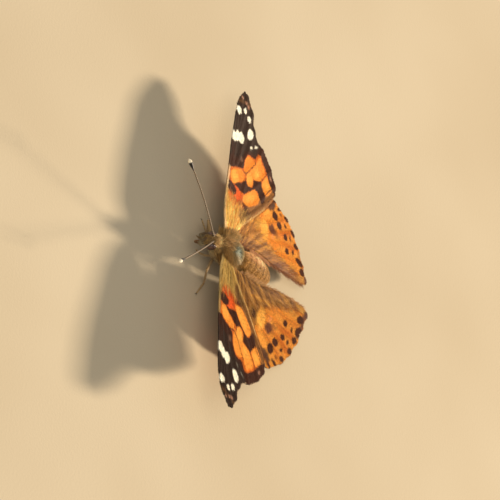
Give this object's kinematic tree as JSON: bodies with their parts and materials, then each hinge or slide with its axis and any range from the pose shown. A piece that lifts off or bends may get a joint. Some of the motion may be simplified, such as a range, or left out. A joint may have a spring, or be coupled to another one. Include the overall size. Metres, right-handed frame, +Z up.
{
  "type": "butterfly model",
  "caption": "Life-size still model of a butterfly that stands with its wings spread flat and its feelers forward: orange, dark brown and white wings, hairy brown body.",
  "frame": {"origin": "middle of the underside of the bounding box, on the ground that the feet stand on", "axes": "+Z up, -Y the way the head looks, +X toward the butterfly's left wing tip"},
  "size_m": [0.0638, 0.04, 0.0133],
  "materials": {
    "forewing_scales": "matte overlapping scales",
    "hindwing_scales": "matte overlapping scales",
    "body_hair": "soft hair over a dark shell",
    "eye": "finely faceted, a soft shine",
    "palp_hair": "short stiff hair",
    "proboscis": "smooth ringed tube",
    "antenna": "fine scales in rings",
    "leg": "short flat scales"
  },
  "bodies": {
    "root": {"thorax": "body_hair", "abdomen": "body_hair", "head": "body_hair", "proboscis": "proboscis", "eye_left": "eye", "palp_left": "palp_hair", "antenna_left": "antenna", "forewing_left": "forewing_scales", "hindwing_left": "hindwing_scales", "foreleg_left": "leg", "midleg_femur_left": "leg", "midleg_tibia_left": "leg", "midleg_tarsus_left": "leg", "hindleg_femur_left": "leg", "hindleg_tibia_left": "leg", "hindleg_tarsus_left": "leg", "eye_right": "eye", "palp_right": "palp_hair", "antenna_right": "antenna", "forewing_right": "forewing_scales", "hindwing_right": "hindwing_scales", "foreleg_right": "leg", "midleg_femur_right": "leg", "midleg_tibia_right": "leg", "midleg_tarsus_right": "leg", "hindleg_femur_right": "leg", "hindleg_tibia_right": "leg", "hindleg_tarsus_right": "leg"}
  },
  "joints": []
}
